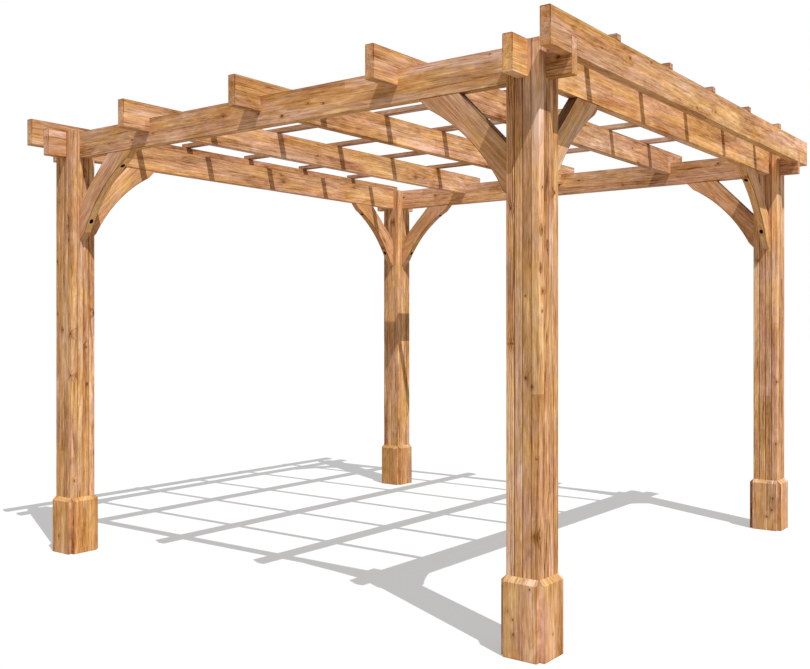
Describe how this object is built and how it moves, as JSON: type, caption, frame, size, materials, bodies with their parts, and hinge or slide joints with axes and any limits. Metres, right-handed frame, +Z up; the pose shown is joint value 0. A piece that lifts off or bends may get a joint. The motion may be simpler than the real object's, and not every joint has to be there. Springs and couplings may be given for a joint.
{
  "type": "wooden pergola",
  "caption": "Free-standing open timber pergola: built-up square posts with skirted feet, arched knee braces, crossed beams, notched rafters and light battens over a walk-through space.",
  "frame": {"origin": "on the ground at the middle of the plan, level with the underside of the posts", "axes": "+X to the right along the front beam, +Y from the front to the back along the rafters, +Z up"},
  "size_m": [3.394, 3.336, 2.4845],
  "materials": {
    "post_timber": "planed softwood, treated golden brown, matt",
    "skirting_timber": "planed softwood, treated golden brown, matt",
    "beam_timber": "planed softwood, treated golden brown, matt",
    "rafter_timber": "planed softwood, treated golden brown, matt",
    "batten_timber": "planed softwood, treated golden brown, matt",
    "brace_timber": "planed softwood, treated golden brown, matt"
  },
  "bodies": {
    "root": {"post_front_left": "post_timber", "post_front_right": "post_timber", "post_back_right": "post_timber", "post_back_left": "post_timber", "skirting_front_left_faces": "skirting_timber", "skirting_front_left_sides": "skirting_timber", "skirting_front_right_faces": "skirting_timber", "skirting_front_right_sides": "skirting_timber", "skirting_back_right_faces": "skirting_timber", "skirting_back_right_sides": "skirting_timber", "skirting_back_left_faces": "skirting_timber", "skirting_back_left_sides": "skirting_timber", "beam_front": "beam_timber", "beam_back": "beam_timber", "beam_left": "beam_timber", "beam_right": "beam_timber", "rafter_1": "rafter_timber", "rafter_2": "rafter_timber", "rafter_3": "rafter_timber", "rafter_4": "rafter_timber", "rafter_5": "rafter_timber", "batten_1": "batten_timber", "batten_2": "batten_timber", "batten_3": "batten_timber", "batten_4": "batten_timber", "batten_5": "batten_timber", "brace_front_left_across": "brace_timber", "brace_front_left_along": "brace_timber", "brace_front_right_across": "brace_timber", "brace_front_right_along": "brace_timber", "brace_back_right_across": "brace_timber", "brace_back_right_along": "brace_timber", "brace_back_left_across": "brace_timber", "brace_back_left_along": "brace_timber"}
  },
  "joints": []
}
